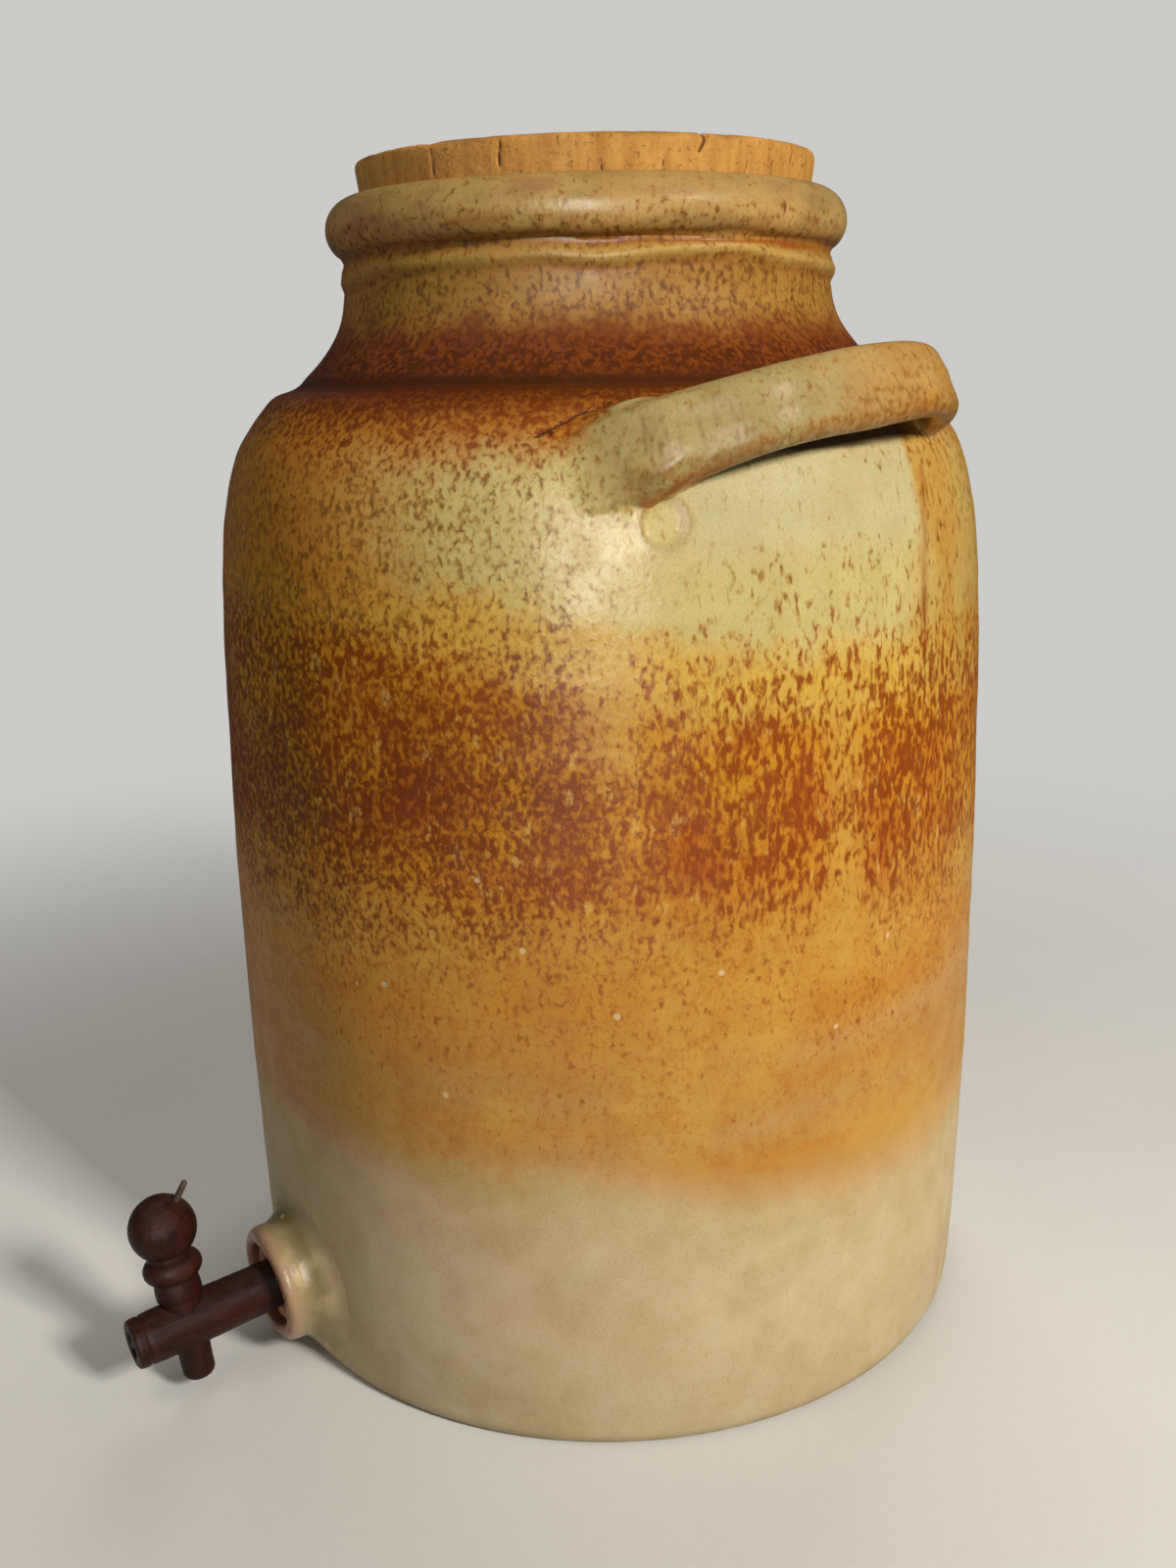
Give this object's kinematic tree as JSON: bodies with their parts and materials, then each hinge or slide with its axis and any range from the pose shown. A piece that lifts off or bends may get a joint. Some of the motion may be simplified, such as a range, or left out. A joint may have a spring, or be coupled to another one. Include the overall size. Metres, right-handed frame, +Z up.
{
  "type": "vinegar crock",
  "caption": "Tall salt-glazed stoneware vinegar crock with a rolled rim, strap handles on the shoulder, a broad cork stopper and a small turned wooden tap in a boss near the base.",
  "frame": {"origin": "centre of the crock's base, on the surface it stands on", "axes": "+Z up along the crock's axis, -Y towards the tap, +X and -X towards the two handles"},
  "size_m": [0.2532, 0.3059, 0.372],
  "materials": {
    "stoneware": "salt glaze, satin to glossy",
    "cork": "raw cork",
    "dark_cork": "wet stained cork",
    "tap_wood": "dark stained, worn satin",
    "peg_wood": "raw wood"
  },
  "bodies": {
    "crock": {"crock_body": "stoneware", "right_handle": "stoneware", "left_handle": "stoneware", "tap_boss": "stoneware", "tap_cork_sleeve": "dark_cork"},
    "stopper": {"cork_stopper": "cork"},
    "tap": {"tap_barrel": "tap_wood"},
    "key": {"tap_key": "tap_wood", "key_peg": "peg_wood"}
  },
  "joints": [
    {"name": "stopper_lift", "type": "slide", "parent": "crock", "child": "stopper", "axis": [0, 0, 1], "range_m": [0, 0.08]},
    {"name": "tap_pull", "type": "slide", "parent": "crock", "child": "tap", "axis": [0, -0.9962, -0.0872], "range_m": [0, 0.05]},
    {"name": "key_turn", "type": "hinge", "parent": "tap", "child": "key", "pos_m": [0, -0.1625, 0.02418], "axis": [-0.1908, -0.0856, 0.9779], "continuous": true}
  ]
}
